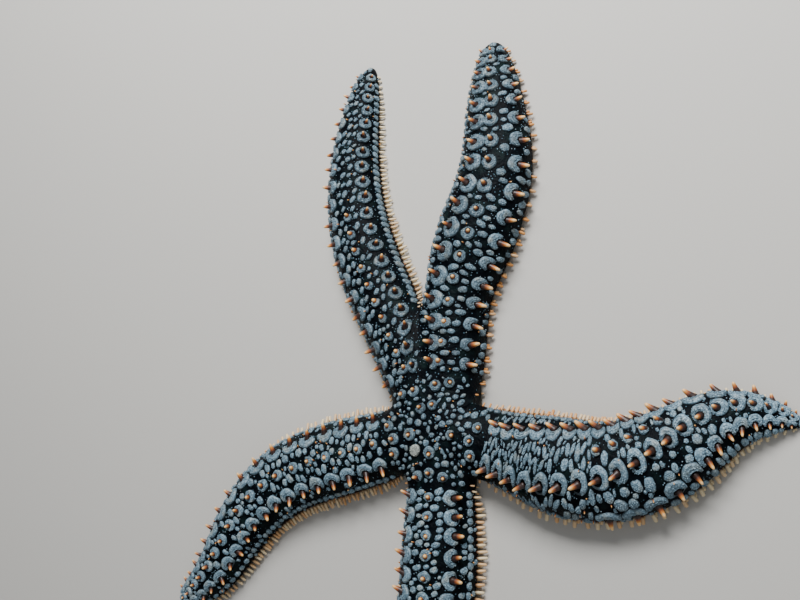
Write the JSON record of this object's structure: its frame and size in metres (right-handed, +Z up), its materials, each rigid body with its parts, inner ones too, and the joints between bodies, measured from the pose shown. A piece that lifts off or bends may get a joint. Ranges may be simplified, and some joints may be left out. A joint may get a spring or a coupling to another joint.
{
  "type": "spiny starfish",
  "caption": "Spiny starfish at rest on its mouth side, arms tapering and gently bent, with rows of stout conical spines, dark skin and pale wreaths round the spines.",
  "frame": {"origin": "on the floor, below the middle of the whole animal's box", "axes": "+Z up, from the mouth side to the spiny side; +X along the longest side of the box, the way the second and third arms point"},
  "size_m": [0.296, 0.2214, 0.0232],
  "materials": {
    "skin": "black-green wet skin under blue-grey grainy pads, with rust to orange spines",
    "eyespot": "dark red, soft, at the tip of each arm",
    "madreporite": "pale grey, finely furrowed, matt",
    "mouth": "soft, pale, folded skin"
  },
  "bodies": {
    "root": {"disc": "skin", "mouth": "mouth", "madreporite": "madreporite", "arm_1_inner": "skin", "arm_1_outer": "skin", "arm_1_eye": "eyespot", "arm_2_inner": "skin", "arm_2_outer": "skin", "arm_2_eye": "eyespot", "arm_3_inner": "skin", "arm_3_outer": "skin", "arm_3_eye": "eyespot", "arm_4_inner": "skin", "arm_4_outer": "skin", "arm_4_eye": "eyespot", "arm_5_inner": "skin", "arm_5_outer": "skin", "arm_5_eye": "eyespot"}
  },
  "joints": []
}
